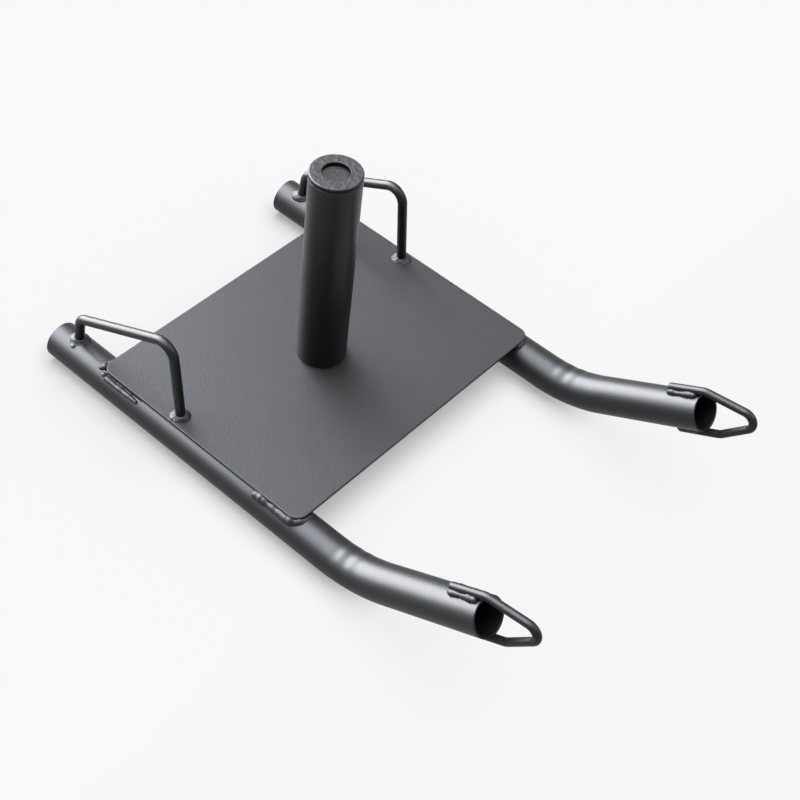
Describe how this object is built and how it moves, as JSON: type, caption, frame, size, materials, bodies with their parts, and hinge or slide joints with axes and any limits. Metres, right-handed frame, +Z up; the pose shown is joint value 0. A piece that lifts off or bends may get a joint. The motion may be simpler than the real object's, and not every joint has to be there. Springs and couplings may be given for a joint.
{
  "type": "weight sled",
  "caption": "Low weight sled with ski-tipped tube runners, a flat steel deck, a round post for weight discs, bent rod handles and rod tow loops.",
  "frame": {"origin": "on the floor under the middle of the sled's bounding box: z = 0 is the underside of the runners", "axes": "+X forwards to the ski tips and tow loops, +Y to the sled's left, +Z up along the weight post"},
  "size_m": [0.5902, 0.3598, 0.2694],
  "materials": {
    "deck_coat": "satin black powder coat, lit from above",
    "tube_coat": "satin black powder coat",
    "post_coat": "satin black powder coat",
    "rod_coat": "satin black powder coat",
    "weld_coat": "glossier black powder coat over weld beads",
    "cap_plastic": "moulded black plastic, fine grain"
  },
  "bodies": {
    "root": {"deck_plate": "deck_coat", "runner_left": "tube_coat", "runner_right": "tube_coat", "weight_post": "post_coat", "post_cap": "cap_plastic", "post_weld": "weld_coat", "handle_left": "rod_coat", "handle_right": "rod_coat", "tow_loop_left": "rod_coat", "tow_loop_right": "rod_coat", "deck_weld_front_left": "weld_coat", "deck_weld_front_right": "weld_coat", "deck_weld_rear_left": "weld_coat", "deck_weld_rear_right": "weld_coat", "handle_weld_front_left": "weld_coat", "handle_weld_front_right": "weld_coat", "handle_weld_rear_left": "weld_coat", "handle_weld_rear_right": "weld_coat", "tow_weld_top_left": "weld_coat", "tow_weld_top_right": "weld_coat", "tow_weld_bottom_left": "weld_coat", "tow_weld_bottom_right": "weld_coat"}
  },
  "joints": []
}
